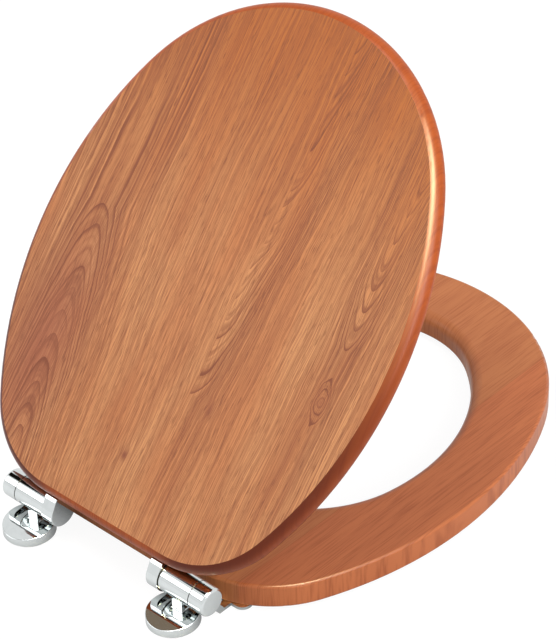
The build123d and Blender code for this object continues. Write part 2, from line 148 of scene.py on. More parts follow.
# %% [markdown]
# Timber is streaky at every scale: broad bands of tone, narrow stripes, and pores like fine pen strokes.
# Each is the same thing drawn out differently, a noise that is long with the grain and short across it.
# The fourth coordinate of the noise tells one set of streaks from another.

# %% Streaks of timber


def streaks(tree, place, across, along, seed, faint, full, detail=2.0):
    """Streaks of about across by along millimetres; the noise rises from none at faint to 1 at full."""
    drawn_out = add_node(tree, "ShaderNodeVectorMath", {0: place, 1: (1 / across, 1 / along, 1 / along)},
                         operation="MULTIPLY").outputs[0]
    noise = add_node(tree, "ShaderNodeTexNoise", {
        "Vector": drawn_out, "W": seed, "Scale": 1.0, "Detail": detail},
        noise_dimensions="4D").outputs["Fac"]
    return add_node(tree, "ShaderNodeMapRange", {"Value": noise, "From Min": faint, "From Max": full},
                    interpolation_type="SMOOTHSTEP").outputs["Result"]


print("streaks ready")

# %% [markdown]
# A saw that cuts a tapering trunk lengthwise meets each growth ring as an arch. Think of the rings as
# contour lines of a valley: the ground rises on both sides of the pith line, and from the apex on the
# valley floor sinks steadily. Contours of such a valley are nested arches, and straight lines further up.
# The film shows three such valleys. A seam between two boards cuts the second one in half.
#
# Each board gives the u of its pith line and how far that drifts for each millimetre past the apex, the v
# of the apex, and whether the arches open forward (1) or to the rear (-1). The valley's bottom is rounded
# over about the round value. On its slopes the rings lie ring / (2 * round) millimetres apart, and along
# the pith they lie ring / sink millimetres apart.

# %% Boards of the film
BOARDS = {
    "left": {"pith": -124.0, "drift": 0.1, "apex": 230.0, "opens": -1,
             "sink": 10.0, "round": 38.0, "ring": 190.0},
    "middle": {"pith": 24.8, "drift": 0.021, "apex": 120.0, "opens": 1,
               "sink": 4.8, "round": 34.0, "ring": 84.0},
    "right": {"pith": 131.7, "drift": 0.0, "apex": 203.0, "opens": 1,
              "sink": 2.4, "round": 18.0, "ring": 44.0},
}


def ring_count(tree, u, v, board):
    """How many growth rings lie between the pith and a point of the board."""
    along = add_node(tree, "ShaderNodeMath", {0: v, 1: board["opens"], 2: -board["opens"] * board["apex"]},
                     operation="MULTIPLY_ADD").outputs[0]
    past = add_node(tree, "ShaderNodeMath", {0: along, 1: 0.0}, operation="MAXIMUM").outputs[0]
    pith = add_node(tree, "ShaderNodeMath", {0: past, 1: board["drift"], 2: board["pith"]},
                    operation="MULTIPLY_ADD").outputs[0]
    offset = add_node(tree, "ShaderNodeMath", {0: u, 1: pith}, operation="SUBTRACT").outputs[0]
    widened = add_node(tree, "ShaderNodeMath", {0: offset, 1: offset, 2: board["round"] ** 2},
                       operation="MULTIPLY_ADD").outputs[0]
    slope = add_node(tree, "ShaderNodeMath", {0: widened}, operation="SQRT").outputs[0]
    valley = add_node(tree, "ShaderNodeMath", {
        0: slope, 1: 2 * board["round"] / board["ring"], 2: -2 * board["round"] ** 2 / board["ring"]},
        operation="MULTIPLY_ADD").outputs[0]
    floor = add_node(tree, "ShaderNodeMath", {
        0: past, 1: board["sink"] * board["round"] ** 2 / board["ring"]}, operation="MULTIPLY").outputs[0]
    sunk = add_node(tree, "ShaderNodeMath", {0: floor, 1: widened}, operation="DIVIDE").outputs[0]
    return add_node(tree, "ShaderNodeMath", {0: valley, 1: sunk}, operation="SUBTRACT").outputs[0]


print("boards of the film:", list(BOARDS))

# %% [markdown]
# A knot is where a branch left the trunk, and the rings close round it. In the valley picture it is a pit,
# so its depth in rings is taken off the ring count. The small swirl and the fleck are shallower pits.
# All three are dark at heart.

# %% Knots
KNOTS = {
    "knot": {"u": 131.6, "v": 169.0, "across": 14.0, "along": 19.0, "rings": 2.6, "heart": 0.5},
    "swirl": {"u": 47.5, "v": 125.0, "across": 9.0, "along": 16.0, "rings": 1.6, "heart": 0.6},
    "fleck": {"u": -5.0, "v": 65.0, "across": 8.0, "along": 12.0, "rings": 0.6, "heart": 0.95},
}


def knot_pit(tree, place, knot):
    """1 at the heart of the knot, falling to 0 at its rim, across and along millimetres away."""
    rim = add_node(tree, "ShaderNodeMapping", {
        "Vector": place, "Location": (knot["u"], knot["v"], 0), "Scale": (knot["across"], knot["along"], 1),
    }, vector_type="TEXTURE").outputs["Vector"]
    flat = add_node(tree, "ShaderNodeVectorMath", {0: rim, 1: (1, 1, 0)}, operation="MULTIPLY").outputs[0]
    distance = add_node(tree, "ShaderNodeVectorMath", {0: flat}, operation="LENGTH").outputs["Value"]
    return add_node(tree, "ShaderNodeMapRange", {"Value": distance, "From Min": 1.0, "From Max": 0.0},
                    interpolation_type="SMOOTHSTEP").outputs["Result"]


print("knots:", list(KNOTS))

# %% [markdown]
# No ring is a perfect curve. A slow noise pushes every point of the film about before its rings are
# counted: far and in large patches over the boards, less far and in small patches round the knots.

# %% Wandering grain
BOARD_WANDER = {"patch": (36.0, 90.0), "push": (10.0, 44.0)}
KNOT_WANDER = {"patch": (11.0, 17.0), "push": (10.0, 14.0)}
WANDER_SEED = 3.7
WANDER_DETAIL = 2.0


def wandering(tree, place, wander):
    """The place on the film, pushed about in patches; the noise is mid-grey where nothing moves."""
    across, along = wander["patch"]
    drawn_out = add_node(tree, "ShaderNodeVectorMath", {0: place, 1: (1 / across, 1 / along, 0)},
                         operation="MULTIPLY").outputs[0]
    noise = add_node(tree, "ShaderNodeTexNoise", {
        "Vector": drawn_out, "W": WANDER_SEED, "Scale": 1.0, "Detail": WANDER_DETAIL},
        noise_dimensions="4D").outputs["Color"]
    centred = add_node(tree, "ShaderNodeVectorMath", {0: noise, 1: (0.5, 0.5, 0.5)},
                       operation="SUBTRACT").outputs[0]
    return add_node(tree, "ShaderNodeVectorMath", {0: centred, 1: (*wander["push"], 0), 2: place},
                    operation="MULTIPLY_ADD").outputs[0]


print("patches of the boards, mm:", BOARD_WANDER["patch"], "of the knots:", KNOT_WANDER["patch"])

# %% [markdown]
# Now the ring count of the whole film. The left board ends hard at the seam, which leans a little. Beyond
# it the middle board passes softly into the right one. The knots are sunk into the result.

# %% Ring count of the whole film
SEAM_U = 22.0
SEAM_LEAN = 0.021
SEAM_BLUR = 0.6
RIGHT_BOARD = (74.0, 98.0)


def film_rings(tree, place):
    """Ring count over the three boards with their knots, and the wandering v that goes with it."""
    grain = add_node(tree, "ShaderNodeSeparateXYZ", {0: wandering(tree, place, BOARD_WANDER)})
    uneven = wandering(tree, place, KNOT_WANDER)
    u = grain.outputs["X"]
    v = grain.outputs["Y"]
    counts = {name: ring_count(tree, u, v, board) for name, board in BOARDS.items()}
    to_right = add_node(tree, "ShaderNodeMapRange", {
        "Value": u, "From Min": RIGHT_BOARD[0], "From Max": RIGHT_BOARD[1]},
        interpolation_type="SMOOTHSTEP").outputs["Result"]
    beyond_seam = add_node(tree, "ShaderNodeMix", {
        0: to_right, 2: counts["middle"], 3: counts["right"]}).outputs[0]
    seam = add_node(tree, "ShaderNodeMath", {0: v, 1: SEAM_LEAN, 2: SEAM_U},
                    operation="MULTIPLY_ADD").outputs[0]
    past_seam = add_node(tree, "ShaderNodeMath", {0: u, 1: seam}, operation="SUBTRACT").outputs[0]
    side = add_node(tree, "ShaderNodeMapRange", {
        "Value": past_seam, "From Min": -SEAM_BLUR, "From Max": SEAM_BLUR}).outputs["Result"]
    count = add_node(tree, "ShaderNodeMix", {0: side, 2: counts["left"], 3: beyond_seam}).outputs[0]
    for knot in KNOTS.values():
        pit = knot_pit(tree, uneven, knot)
        count = add_node(tree, "ShaderNodeMath", {0: pit, 1: -knot["rings"], 2: count},
                         operation="MULTIPLY_ADD").outputs[0]
    return count, v


print("seam between the boards at u, mm:", SEAM_U)

# %% [markdown]
# Within one ring the wood darkens slowly and then turns pale at once. That is a saw-tooth of the ring
# count. Real rings differ in strength and are full of thinner lines, so two sets of streaks are looked up
# with the ring count as a coordinate: what they draw follows the rings wherever those go. Across is
# therefore counted in rings here, not in millimetres. Near the heart the lines are strongest.

# %% Growth lines
LATE_WOOD_POWER = 3.5
RING_STRENGTH = {"across": 0.37, "along": 130.0, "seed": 2.9, "faint": 0.3, "full": 0.58, "detail": 1.0}
LINES_PER_RING = 1.7
THIN_LINES = {"across": 1 / LINES_PER_RING, "along": 240.0, "seed": 6.3, "faint": 0.44, "full": 0.62,
              "detail": 3.0}
THIN_LINE_SHARE = 0.6
HEART_RINGS = (3.0, 13.0)
OUTER_SHARE = 0.5


def growth_lines(tree, count, v):
    """Darkness of the growth rings, from 0 to about 1."""
    step = add_node(tree, "ShaderNodeMath", {0: count}, operation="FRACT").outputs[0]
    late_wood = add_node(tree, "ShaderNodeMath", {0: step, 1: LATE_WOOD_POWER},
                         operation="POWER").outputs[0]
    ring = add_node(tree, "ShaderNodeMath", {0: count}, operation="FLOOR").outputs[0]
    ring_place = add_node(tree, "ShaderNodeCombineXYZ", {0: ring, 1: v}).outputs[0]
    strength = streaks(tree, ring_place, **RING_STRENGTH)
    strong_rings = add_node(tree, "ShaderNodeMath", {0: late_wood, 1: strength},
                            operation="MULTIPLY").outputs[0]
    line_place = add_node(tree, "ShaderNodeCombineXYZ", {0: count, 1: v}).outputs[0]
    thin_lines = streaks(tree, line_place, **THIN_LINES)
    both = add_node(tree, "ShaderNodeMath", {0: thin_lines, 1: THIN_LINE_SHARE, 2: strong_rings},
                    operation="MULTIPLY_ADD").outputs[0]
    near_heart = add_node(tree, "ShaderNodeMapRange", {
        "Value": count, "From Min": HEART_RINGS[0], "From Max": HEART_RINGS[1],
        "To Min": 1.0, "To Max": OUTER_SHARE}).outputs["Result"]
    return add_node(tree, "ShaderNodeMath", {0: both, 1: near_heart}, operation="MULTIPLY").outputs[0]


print("thin lines to a ring:", LINES_PER_RING)

# %% [markdown]
# The print is built up in layers, as a decor printer would do it. Each layer is one ink, laid on through a
# mask. The ground comes first: a pale tone with deeper bands, an orange-brown that grows towards the front
# of the lid, and a pinkish cast over the arches of the left board.

# %% Ground of the film
FILM_PALE = "#C98C5B"
FILM_DEEP = "#BB7749"
FILM_FRONT = "#A8591B"
FILM_CAST = "#94523D"
FILM_BANDS = {"across": 30.0, "along": 130.0, "seed": 1.3, "faint": 0.3, "full": 0.7, "detail": 3.0}
FRONT_V = (190.0, 430.0)
FRONT_SHARE = 0.85
CAST_PATCH = {"u": -122.0, "v": 110.0, "across": 60.0, "along": 150.0}
CAST_SHARE = 0.74


def overprint(tree, colour, mask, share, ink):
    """The colour with one ink laid over it; where the mask is 1, the ink covers the given share."""
    cover = add_node(tree, "ShaderNodeMath", {0: mask, 1: share}, operation="MULTIPLY").outputs[0]
    return add_node(tree, "ShaderNodeMix", {0: cover, 6: colour, 7: paint(ink)},
                    data_type="RGBA").outputs[2]


def film_ground(tree, place):
    """Ground colour of the film, before any line is drawn."""
    bands = streaks(tree, place, **FILM_BANDS)
    colour = add_node(tree, "ShaderNodeMix", {0: bands, 6: paint(FILM_PALE), 7: paint(FILM_DEEP)},
                      data_type="RGBA").outputs[2]
    v = add_node(tree, "ShaderNodeSeparateXYZ", {0: place}).outputs["Y"]
    forward = add_node(tree, "ShaderNodeMapRange", {
        "Value": v, "From Min": FRONT_V[0], "From Max": FRONT_V[1]},
        interpolation_type="SMOOTHSTEP").outputs["Result"]
    colour = overprint(tree, colour, forward, FRONT_SHARE, FILM_FRONT)
    return overprint(tree, colour, knot_pit(tree, place, CAST_PATCH), CAST_SHARE, FILM_CAST)


print("ground of the film:", FILM_PALE, "to", FILM_DEEP)

# %% [markdown]
# The lines follow: growth rings, the dark hearts of the knots, long hairs that wander with the grain, and
# last the pores. On a real print hairs and pores are about 0.2 mm wide. The picture has little more than
# one pixel to a millimetre, so they are drawn about three times as wide, to show at all.

# %% Lines of the film
FILM_LINE = "#793F27"
FILM_HEART = "#7A3F2C"
FILM_PORE = "#65341F"
LINE_SHARE = 0.86
HEART_POWER = 3.0
HAIRS = {"across": 0.62, "along": 90.0, "seed": 7.7, "faint": 0.42, "full": 0.6}
HAIR_SHARE = 0.46
PORES = {"across": 0.7, "along": 10.0, "seed": 5.2, "faint": 0.54, "full": 0.66}
PORE_SHARE = 0.5


def film_colour(tree, place):
    """Colour of the printed film, and its pores for the bump."""
    count, v = film_rings(tree, place)
    colour = film_ground(tree, place)
    colour = overprint(tree, colour, growth_lines(tree, count, v), LINE_SHARE, FILM_LINE)
    for knot in KNOTS.values():
        heart = add_node(tree, "ShaderNodeMath", {0: knot_pit(tree, place, knot), 1: HEART_POWER},
                         operation="POWER").outputs[0]
        colour = overprint(tree, colour, heart, knot["heart"], FILM_HEART)
    hairs = streaks(tree, wandering(tree, place, BOARD_WANDER), **HAIRS)
    colour = overprint(tree, colour, hairs, HAIR_SHARE, FILM_LINE)
    pores = streaks(tree, place, **PORES)
    return overprint(tree, colour, pores, PORE_SHARE, FILM_PORE), pores


print("pores, mm:", PORES["across"], "by", PORES["along"])

# %% [markdown]
# The lid's rounded edge isn't film: it is the board itself, stained orange-red, with a faint grain. Towards
# the two rear corners, where the edge lies in shade by the hinges, a dark painted shade is laid over the
# stain, strongest close to the film. So the painted shade grows to the rear, to the sides and upwards, and
# three ramps are multiplied.

# %% Stain of the lid's edge
EDGE_STAIN = "#A34B19"
EDGE_GRAIN = "#923F14"
EDGE_PAINTED_SHADE = "#531C09"
EDGE_FIBRES = {"across": 1.3, "along": 60.0, "seed": 2.2, "faint": 0.4, "full": 0.7, "detail": 3.0}
EDGE_SHADE_V = (310.0, 90.0)
EDGE_SHADE_U = (45.0, 80.0)
EDGE_SHADE_SHARE = (0.5, 0.95)
RIM_WIDTH = 9.0


def edge_colour(tree, place):
    """Colour of the stained edge, with painted shade towards its rear corners."""
    u, v, height = add_node(tree, "ShaderNodeSeparateXYZ", {0: place}).outputs
    fibres = streaks(tree, place, **EDGE_FIBRES)
    colour = add_node(tree, "ShaderNodeMix", {0: fibres, 6: paint(EDGE_STAIN), 7: paint(EDGE_GRAIN)},
                      data_type="RGBA").outputs[2]
    rearward = add_node(tree, "ShaderNodeMapRange", {
        "Value": v, "From Min": EDGE_SHADE_V[0], "From Max": EDGE_SHADE_V[1]},
        interpolation_type="SMOOTHSTEP").outputs["Result"]
    off_middle = add_node(tree, "ShaderNodeMath", {0: u}, operation="ABSOLUTE").outputs[0]
    sideways = add_node(tree, "ShaderNodeMapRange", {
        "Value": off_middle, "From Min": EDGE_SHADE_U[0], "From Max": EDGE_SHADE_U[1]},
        interpolation_type="SMOOTHSTEP").outputs["Result"]
    upwards = add_node(tree, "ShaderNodeMapRange", {
        "Value": height, "From Min": lid_top - RIM_WIDTH, "From Max": lid_top,
        "To Min": EDGE_SHADE_SHARE[0], "To Max": EDGE_SHADE_SHARE[1]},
        interpolation_type="SMOOTHSTEP").outputs["Result"]
    # Painted shade: the edge darkens towards the rear corners, most of all beside the film.
    corner = add_node(tree, "ShaderNodeMath", {0: rearward, 1: sideways}, operation="MULTIPLY").outputs[0]
    return overprint(tree, colour, corner, upwards, EDGE_PAINTED_SHADE)


print("edge stain:", EDGE_STAIN, "and at the rear corners", EDGE_PAINTED_SHADE)

# %% [markdown]
# Film and edge go on one material, because the lid is one solid. The height above the shut lid's axis tells
# its two faces from the edge between them. The film has an even satin sheen that spreads highlights wide,
# and its pores are pressed in a few hundredths of a millimetre. The edge is lacquered. Its lacquer is
# glossy beside the film and duller towards the underside, where the spray reached less. So a bright strip
# runs along the upper half of the edge.

# %% Lid material
FILM_ROUGHNESS = 0.46
EDGE_ROUGHNESS = (0.31, 0.6)
LACQUER_IOR = 1.5
LACQUER_SPECULAR = 0.2
FACE_SLACK = 0.05
PORE_DEPTH = 0.03 * MM
lid_wood, tree = new_material("satin wood film and lacquered edge")
place = lid_plane(tree)
height = add_node(tree, "ShaderNodeSeparateXYZ", {0: place}).outputs["Z"]
on_edge = add_node(tree, "ShaderNodeMath", {
    0: height, 1: (lid_top + lid_bottom) / 2, 2: (lid_top - lid_bottom) / 2 - FACE_SLACK},
    operation="COMPARE").outputs[0]
film, pores = film_colour(tree, place)
colour = add_node(tree, "ShaderNodeMix", {0: on_edge, 6: film, 7: edge_colour(tree, place)},
                  data_type="RGBA").outputs[2]
edge_roughness = add_node(tree, "ShaderNodeMapRange", {
    "Value": height, "From Min": lid_top, "From Max": lid_bottom,
    "To Min": EDGE_ROUGHNESS[0], "To Max": EDGE_ROUGHNESS[1]}).outputs["Result"]
roughness = add_node(tree, "ShaderNodeMix", {0: on_edge, 2: FILM_ROUGHNESS, 3: edge_roughness}).outputs[0]
film_pores = add_node(tree, "ShaderNodeMath", {0: pores, 1: on_edge},
                      operation="SUBTRACT", use_clamp=True).outputs[0]
dents = add_node(tree, "ShaderNodeBump", {"Height": film_pores, "Distance": PORE_DEPTH},
                 invert=True).outputs["Normal"]
shader = add_node(tree, "ShaderNodeBsdfPrincipled", {
    "Base Color": colour, "Roughness": roughness, "IOR": LACQUER_IOR,
    "Specular IOR Level": LACQUER_SPECULAR, "Normal": dents})
add_node(tree, "ShaderNodeOutputMaterial", {"Surface": shader.outputs[0]})
print(lid_wood.name, len(tree.nodes), "nodes")

# %% [markdown]
# ## Stained and lacquered ring
#
# The ring is plain board, glued up from a front piece and two side pieces, stained and lacquered. The grain
# runs front to back, fine and low in contrast, under an even shine. The side pieces are painted a little
# lighter and redder than the front piece. These two tones are painted light and shade: they even out how
# the lid's shade and the lamps fall on the ring. The two glue lines are just visible. Fibres, bands and
# glue lines all darken the wood towards one tone, so their shares are added up first.

# %% Ring material
RING_SIDE_PAINTED_LIGHT = "#B86A40"
RING_FRONT_PAINTED_SHADE = "#B06C41"
RING_GRAIN = "#894425"
RING_ROUGHNESS = 0.3
RING_FIBRES = {"across": 0.9, "along": 34.0, "seed": 6.1, "faint": 0.44, "full": 0.68, "detail": 3.0}
FIBRE_SHARE = 0.48
RING_BANDS = {"across": 14.0, "along": 160.0, "seed": 4.4, "faint": 0.3, "full": 0.7}
BAND_SHARE = 0.22
GLUE_LINE_X = 106.0
GLUE_LINE_HALF = 0.35
GLUE_SHARE = 0.25
ring_wood, tree = new_material("stained wood under lacquer")
place = add_node(tree, "ShaderNodeMapping", {
    "Vector": add_node(tree, "ShaderNodeTexCoord").outputs["Object"], "Scale": (MM, MM, MM),
}, vector_type="TEXTURE").outputs["Vector"]
x = add_node(tree, "ShaderNodeSeparateXYZ", {0: place}).outputs["X"]
off_middle = add_node(tree, "ShaderNodeMath", {0: x}, operation="ABSOLUTE").outputs[0]
lifted_side_piece = add_node(tree, "ShaderNodeMath", {0: off_middle, 1: GLUE_LINE_X},
                      operation="GREATER_THAN").outputs[0]
glue_line = add_node(tree, "ShaderNodeMath", {0: off_middle, 1: GLUE_LINE_X, 2: GLUE_LINE_HALF},
                     operation="COMPARE").outputs[0]
# Painted light and shade: the side pieces are lifted against the lid's shade, and the front piece is toned
# down.
colour = add_node(tree, "ShaderNodeMix", {0: lifted_side_piece, 6: paint(RING_FRONT_PAINTED_SHADE), 7: paint(RING_SIDE_PAINTED_LIGHT)},
                  data_type="RGBA").outputs[2]
fibres = streaks(tree, place, **RING_FIBRES)
bands = streaks(tree, place, **RING_BANDS)
darkness = 0.0
for mark, share in ((fibres, FIBRE_SHARE), (bands, BAND_SHARE), (glue_line, GLUE_SHARE)):
    darkness = add_node(tree, "ShaderNodeMath", {0: mark, 1: share, 2: darkness},
                        operation="MULTIPLY_ADD").outputs[0]
colour = add_node(tree, "ShaderNodeMix", {0: darkness, 6: colour, 7: paint(RING_GRAIN)},
                  data_type="RGBA").outputs[2]
shader = add_node(tree, "ShaderNodeBsdfPrincipled", {
    "Base Color": colour, "Roughness": RING_ROUGHNESS, "IOR": LACQUER_IOR,
    "Specular IOR Level": LACQUER_SPECULAR})
add_node(tree, "ShaderNodeOutputMaterial", {"Surface": shader.outputs[0]})
print(ring_wood.name, len(tree.nodes), "nodes")

# %% [markdown]
# ## Metals, plastics and rubbers
#
# The hinge castings are zinc alloy, polished and chrome plated: a mirror with a cool tint and a trace of
# haze. Screws, shafts and pins are zinc-plated steel, duller and finely mottled. The rest are moulded, and
# the grit of the mould gives them a fine bump and an uneven shine: dark grey acetal dampers with a soft
# shine, black nylon washers, matt black gaskets, and pale bumpers that hardly shine at all.
#
# All six differ only in numbers, so one loop makes them from a table. Grit and relief are in millimetres.
# A grit finer than half a millimetre wouldn't show.

# %% Plain finishes
PLAIN_FINISHES = {
    "chrome": {"name": "polished chrome plate", "tones": ("#DADEDE", "#D0D5D5"), "metallic": 1.0,
               "roughness": (0.03, 0.07), "grit": 6.0, "relief": 0.0},
    "zinc_steel": {"name": "zinc-plated steel", "tones": ("#BFC2C4", "#9EA2A6"), "metallic": 1.0,
                   "roughness": (0.22, 0.4), "grit": 0.9, "relief": 0.01},
    "damper_plastic": {"name": "moulded acetal", "tones": ("#303133", "#242527"), "metallic": 0.0,
                       "roughness": (0.35, 0.5), "grit": 0.6, "relief": 0.02},
    "black_nylon": {"name": "black nylon", "tones": ("#191919", "#111111"), "metallic": 0.0,
                    "roughness": (0.4, 0.55), "grit": 0.5, "relief": 0.01},
    "gasket_rubber": {"name": "black rubber sheet", "tones": ("#202020", "#161616"), "metallic": 0.0,
                      "roughness": (0.6, 0.85), "grit": 0.7, "relief": 0.03},
    "bumper_rubber": {"name": "pale moulded rubber", "tones": ("#EBE8E0", "#DEDAD0"), "metallic": 0.0,
                      "roughness": (0.5, 0.7), "grit": 0.8, "relief": 0.03},
}
GRIT_SPAN = (0.3, 0.7)
GRIT_DETAIL = 3.0
finishes = {"lid_wood": lid_wood, "ring_wood": ring_wood}
for slot, finish in PLAIN_FINISHES.items():
    finishes[slot], tree = new_material(finish["name"])
    place = add_node(tree, "ShaderNodeTexCoord").outputs["Object"]
    grit = add_node(tree, "ShaderNodeTexNoise", {
        "Vector": place, "Scale": 1 / (finish["grit"] * MM), "Detail": GRIT_DETAIL}).outputs["Fac"]
    colour = add_node(tree, "ShaderNodeMix", {
        0: grit, 6: paint(finish["tones"][0]), 7: paint(finish["tones"][1])}, data_type="RGBA").outputs[2]
    roughness = add_node(tree, "ShaderNodeMapRange", {
        "Value": grit, "From Min": GRIT_SPAN[0], "From Max": GRIT_SPAN[1],
        "To Min": finish["roughness"][0], "To Max": finish["roughness"][1]}).outputs["Result"]
    shader = add_node(tree, "ShaderNodeBsdfPrincipled", {
        "Base Color": colour, "Metallic": finish["metallic"], "Roughness": roughness})
    if finish["relief"]:
        relief = add_node(tree, "ShaderNodeBump", {"Height": grit, "Distance": finish["relief"] * MM})
        tree.links.new(relief.outputs["Normal"], shader.inputs["Normal"])
    add_node(tree, "ShaderNodeOutputMaterial", {"Surface": shader.outputs[0]})
print("finishes:", sorted(finishes))

# %% [markdown]
# Every CAD node says in the record which material slot it belongs to, so one loop dresses them all.

# %% Dress the CAD nodes
for part in frame["record"]["subparts"]:
    node = frame["nodes"][part["node"]]
    node.data.materials.clear()
    node.data.materials.append(finishes[part["material_slot"]])

# %% [markdown]
# ## Wood screws
#
# Twelve countersunk screws hold the hinge plates to the boards. The CAD screws are plain stand-ins for
# weight and fit. A screw could be modelled once and copied by hand, but what repeats is a job for Geometry
# Nodes: one tree builds a screw from its sizes and puts it on points. The points are the heads of the CAD
# screws, so the new screws sit where the old ones do.

# %% Screw tree
SCREW_INPUTS = ("Head Radius", "Core Radius", "Length", "Tip", "Pitch", "Thread Height", "Recess Length",
                "Recess Width", "Recess Depth")
screw_tree = bpy.data.node_groups.new("wood screws", "GeometryNodeTree")
screw_tree.interface.new_socket("Heads", in_out="INPUT", socket_type="NodeSocketGeometry")
for label in SCREW_INPUTS:
    screw_tree.interface.new_socket(label, in_out="INPUT", socket_type="NodeSocketFloat")
screw_tree.interface.new_socket("Turn Seed", in_out="INPUT", socket_type="NodeSocketInt")
screw_tree.interface.new_socket("Finish", in_out="INPUT", socket_type="NodeSocketMaterial")
screw_tree.interface.new_socket("Screws", in_out="OUTPUT", socket_type="NodeSocketGeometry")
given = add_node(screw_tree, "NodeGroupInput").outputs
print("screw tree inputs:", [socket.name for socket in given if socket.name])

# %% [markdown]
# The head is a cone that narrows to the core, flat side down. The core is a cylinder, the tip a cone. A
# cone stands on the origin and a cylinder has it in the middle, so core and tip are lifted to where they
# belong.

# %% Head, core and tip
HEAD_SIDES = 32
CORE_SIDES = 24
head_height = add_node(screw_tree, "ShaderNodeMath", {0: given["Head Radius"], 1: given["Core Radius"]},
                       operation="SUBTRACT").outputs[0]
head = add_node(screw_tree, "GeometryNodeMeshCone", {
    "Vertices": HEAD_SIDES, "Radius Top": given["Core Radius"], "Radius Bottom": given["Head Radius"],
    "Depth": head_height}).outputs["Mesh"]
core_top = add_node(screw_tree, "ShaderNodeMath", {0: given["Length"], 1: given["Tip"]},
                    operation="SUBTRACT").outputs[0]
core_length = add_node(screw_tree, "ShaderNodeMath", {0: core_top, 1: head_height},
                       operation="SUBTRACT").outputs[0]
core_middle = add_node(screw_tree, "ShaderNodeMath", {0: core_length, 1: 0.5, 2: head_height},
                       operation="MULTIPLY_ADD").outputs[0]
cylinder = add_node(screw_tree, "GeometryNodeMeshCylinder", {
    "Vertices": CORE_SIDES, "Radius": given["Core Radius"], "Depth": core_length}).outputs["Mesh"]
core = add_node(screw_tree, "GeometryNodeTransform", {
    "Geometry": cylinder,
    "Translation": add_node(screw_tree, "ShaderNodeCombineXYZ", {"Z": core_middle}).outputs[0]}).outputs[0]
cone = add_node(screw_tree, "GeometryNodeMeshCone", {
    "Vertices": CORE_SIDES, "Radius Top": 0.0, "Radius Bottom": given["Core Radius"],
    "Depth": given["Tip"]}).outputs["Mesh"]
tip = add_node(screw_tree, "GeometryNodeTransform", {
    "Geometry": cone,
    "Translation": add_node(screw_tree, "ShaderNodeCombineXYZ", {"Z": core_top}).outputs[0]}).outputs[0]
print("screw body nodes:", len(screw_tree.nodes))

# %% [markdown]
# The cross recess is two slots at right angles, cut out of the head one after the other. A slot is centred
# on the flat of the head, so it is twice as tall as the recess is deep. The thread is a spiral on the core,
# swept with a three-sided profile, which is what a rolled thread looks like at this size.

# %% Cross recess and thread
THREAD_STEPS = 20
THREAD_SIDES = 3
slot_height = add_node(screw_tree, "ShaderNodeMath", {0: given["Recess Depth"], 1: 2.0},
                       operation="MULTIPLY").outputs[0]
slot_size = add_node(screw_tree, "ShaderNodeCombineXYZ", {
    0: given["Recess Length"], 1: given["Recess Width"], 2: slot_height}).outputs[0]
cutter = add_node(screw_tree, "GeometryNodeMeshCube", {"Size": slot_size}).outputs["Mesh"]
turned = add_node(screw_tree, "GeometryNodeTransform", {
    "Geometry": cutter, "Rotation": (0, 0, math.pi / 2)}).outputs[0]
cut_head = head
for slot_cutter in (cutter, turned):
    cut_head = add_node(screw_tree, "GeometryNodeMeshBoolean", {"Mesh 1": cut_head, "Mesh 2": slot_cutter},
                        operation="DIFFERENCE").outputs["Mesh"]
turns = add_node(screw_tree, "ShaderNodeMath", {0: core_length, 1: given["Pitch"]},
                 operation="DIVIDE").outputs[0]
spiral = add_node(screw_tree, "GeometryNodeCurveSpiral", {
    "Resolution": THREAD_STEPS, "Rotations": turns, "Start Radius": given["Core Radius"],
    "End Radius": given["Core Radius"], "Height": core_length}).outputs["Curve"]
ridge = add_node(screw_tree, "GeometryNodeCurvePrimitiveCircle", {
    "Resolution": THREAD_SIDES, "Radius": given["Thread Height"]}).outputs["Curve"]
swept = add_node(screw_tree, "GeometryNodeCurveToMesh", {
    "Curve": spiral, "Profile Curve": ridge, "Fill Caps": True}).outputs["Mesh"]
thread = add_node(screw_tree, "GeometryNodeTransform", {
    "Geometry": swept,
    "Translation": add_node(screw_tree, "ShaderNodeCombineXYZ", {"Z": head_height}).outputs[0]}).outputs[0]
one_screw = add_node(screw_tree, "GeometryNodeJoinGeometry")
for piece in (thread, tip, core, cut_head):
    screw_tree.links.new(piece, one_screw.inputs[0])
print("screw tree nodes so far:", len(screw_tree.nodes))

# %% [markdown]
# No fitter leaves all the recesses in line, so each screw is turned by a random angle, with a fixed seed.
# The tree ends with real meshes and their material, because an export would drop instances.

# %% Screws on the points
turn = add_node(screw_tree, "FunctionNodeRandomValue", {
    0: (0, 0, 0), 1: (0, 0, 2 * math.pi), "Seed": given["Turn Seed"]}, data_type="FLOAT_VECTOR").outputs[0]
points = add_node(screw_tree, "GeometryNodeMeshToPoints", {"Mesh": given["Heads"]}).outputs[0]
placed = add_node(screw_tree, "GeometryNodeInstanceOnPoints", {
    "Points": points, "Instance": one_screw.outputs[0], "Rotation": turn}).outputs[0]
real = add_node(screw_tree, "GeometryNodeRealizeInstances", {"Geometry": placed}).outputs[0]
finished = add_node(screw_tree, "GeometryNodeSetMaterial", {
    "Geometry": real, "Material": given["Finish"]}).outputs[0]
add_node(screw_tree, "NodeGroupOutput", {"Screws": finished})
print("screw tree nodes:", len(screw_tree.nodes))

# %% [markdown]
# The tip of a CAD screw is its highest point when its board lies flat, so the tips are found by height, and
# the heads lie one screw length below. Corners that agree to five digits of a metre, a hundredth of a
# millimetre, count as one tip. Length and head radius come from the CAD screws too, so that the new ones
# fill the same holes.

# %% Find the screw heads
TIP_SLACK = 0.05 * MM
TIP_DIGITS = 5


